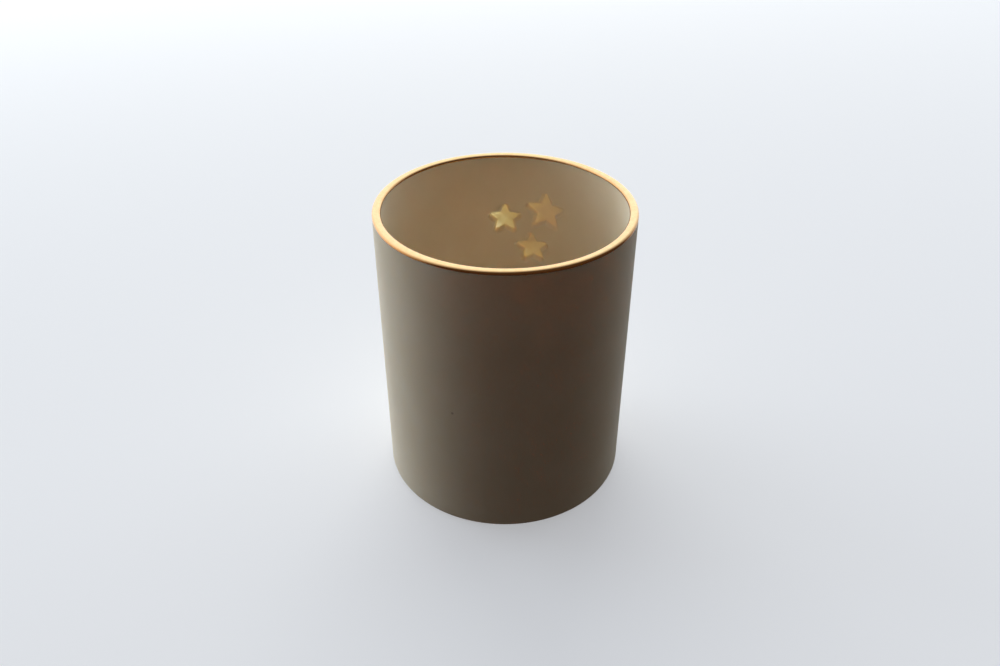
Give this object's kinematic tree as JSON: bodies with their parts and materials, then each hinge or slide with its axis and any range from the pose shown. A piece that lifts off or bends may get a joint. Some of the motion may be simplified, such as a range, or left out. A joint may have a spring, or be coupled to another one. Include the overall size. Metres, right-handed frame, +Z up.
{
  "type": "tealight holder",
  "caption": "Straight-sided porcelain beaker with a gold rim and stars sunk into its inner wall, holding a lift-out tealight in an aluminium cup.",
  "frame": {"origin": "middle of the foot ring, on the surface the holder stands on", "axes": "+Z up along the beaker's axis; +Y towards the wall that carries the stars on its inside, so a viewer on the -Y side sees them over the near rim; +X to that viewer's right"},
  "size_m": [0.07, 0.07, 0.084],
  "materials": {
    "porcelain": "matt, unglazed-looking bisque porcelain, warm white and slightly translucent",
    "gold_lustre": "fired-on bright gold lustre, mirror smooth",
    "aluminium_foil": "bright pressed sheet",
    "paraffin_wax": "white paraffin wax, satin and translucent",
    "tinplate": "stamped sheet",
    "cotton_wick": "plaited cotton soaked in wax"
  },
  "bodies": {
    "holder": {"holder_body": "porcelain", "gold_rim": "gold_lustre"},
    "tealight": {"tealight_cup": "aluminium_foil", "tealight_wax": "paraffin_wax", "wick_holder": "tinplate", "wick": "cotton_wick"}
  },
  "joints": [
    {"name": "tealight_lift", "type": "slide", "parent": "holder", "child": "tealight", "axis": [0, 0, 1], "range_m": [0, 0.09]}
  ]
}
